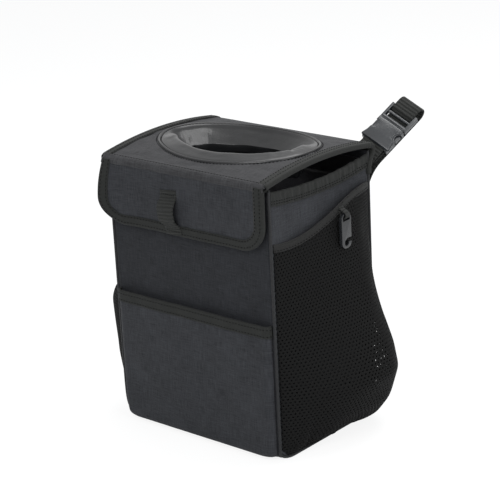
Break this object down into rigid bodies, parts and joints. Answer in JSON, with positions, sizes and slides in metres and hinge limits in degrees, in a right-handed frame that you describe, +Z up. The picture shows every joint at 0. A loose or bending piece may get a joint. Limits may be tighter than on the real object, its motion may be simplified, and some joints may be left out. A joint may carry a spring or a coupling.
{
  "type": "car trash bin",
  "caption": "Upright cloth car trash bin with a hinged arched lid, an oval leather-like collar, a front flap, mesh side pockets and a buckled hanging strap.",
  "frame": {"origin": "centre of the base, on the floor", "axes": "+Z up, the front with its flap faces -Y, the side with the buckle and hook faces +X"},
  "size_m": [0.2735, 0.2346, 0.3072],
  "materials": {
    "oxford_cloth": "charcoal black plain-woven Oxford cloth",
    "edge_tape": "black ribbed binding tape",
    "net": "black knitted mesh",
    "elastic_hem": "black elastic binding",
    "board": "black polyethylene sheet",
    "liner": "black coated waterproof lining",
    "webbing": "black woven webbing",
    "moulded_plastic": "satin black moulded plastic",
    "fastener": "black touch fastener",
    "collar": "glossy black coated leathercloth"
  },
  "bodies": {
    "bin": {"wrap_panel": "oxford_cloth", "right_side_panel": "oxford_cloth", "left_side_panel": "oxford_cloth", "front_pocket": "oxford_cloth", "right_piping": "edge_tape", "left_piping": "edge_tape", "right_top_tape": "edge_tape", "left_top_tape": "edge_tape", "front_rim_tape": "edge_tape", "front_pocket_tape": "edge_tape", "right_mesh_pocket": "net", "left_mesh_pocket": "net", "right_pocket_hem": "elastic_hem", "left_pocket_hem": "elastic_hem", "front_board": "board", "back_board": "board", "bottom_board": "board", "inner_liner": "liner", "short_strap": "webbing", "long_strap": "webbing", "hook_tab": "webbing", "buckle_socket": "moulded_plastic", "front_loop_pad": "fastener"},
    "lid": {"lid_panel": "oxford_cloth", "lid_board": "board", "lid_lining": "liner", "lid_right_tape": "edge_tape", "lid_left_tape": "edge_tape", "opening_collar": "collar"},
    "flap": {"flap_panel": "oxford_cloth", "flap_board": "board", "flap_lining": "liner", "flap_tape": "edge_tape", "flap_hook_pad": "fastener", "pull_tab": "webbing"},
    "clip": {"buckle_clip": "moulded_plastic"},
    "hook": {"side_hook": "moulded_plastic"}
  },
  "joints": [
    {"name": "lid_hinge", "type": "hinge", "parent": "bin", "child": "lid", "pos_m": [0, 0.075, 0.2695], "axis": [-1, 0, 0], "range_deg": [0, 110]},
    {"name": "flap_hinge", "type": "hinge", "parent": "lid", "child": "flap", "pos_m": [0, -0.081, 0.2732], "axis": [-1, 0, 0], "range_deg": [0, 150]},
    {"name": "buckle_release", "type": "slide", "parent": "bin", "child": "clip", "axis": [0.2717, 0.766, 0.5826], "range_m": [0, 0.025], "deforming": ["buckle_clip", "long_strap"]},
    {"name": "hook_swing", "type": "hinge", "parent": "bin", "child": "hook", "pos_m": [0.1136, 0.017, 0.2225], "axis": [0, -1, 0], "range_deg": [0, 100]}
  ]
}
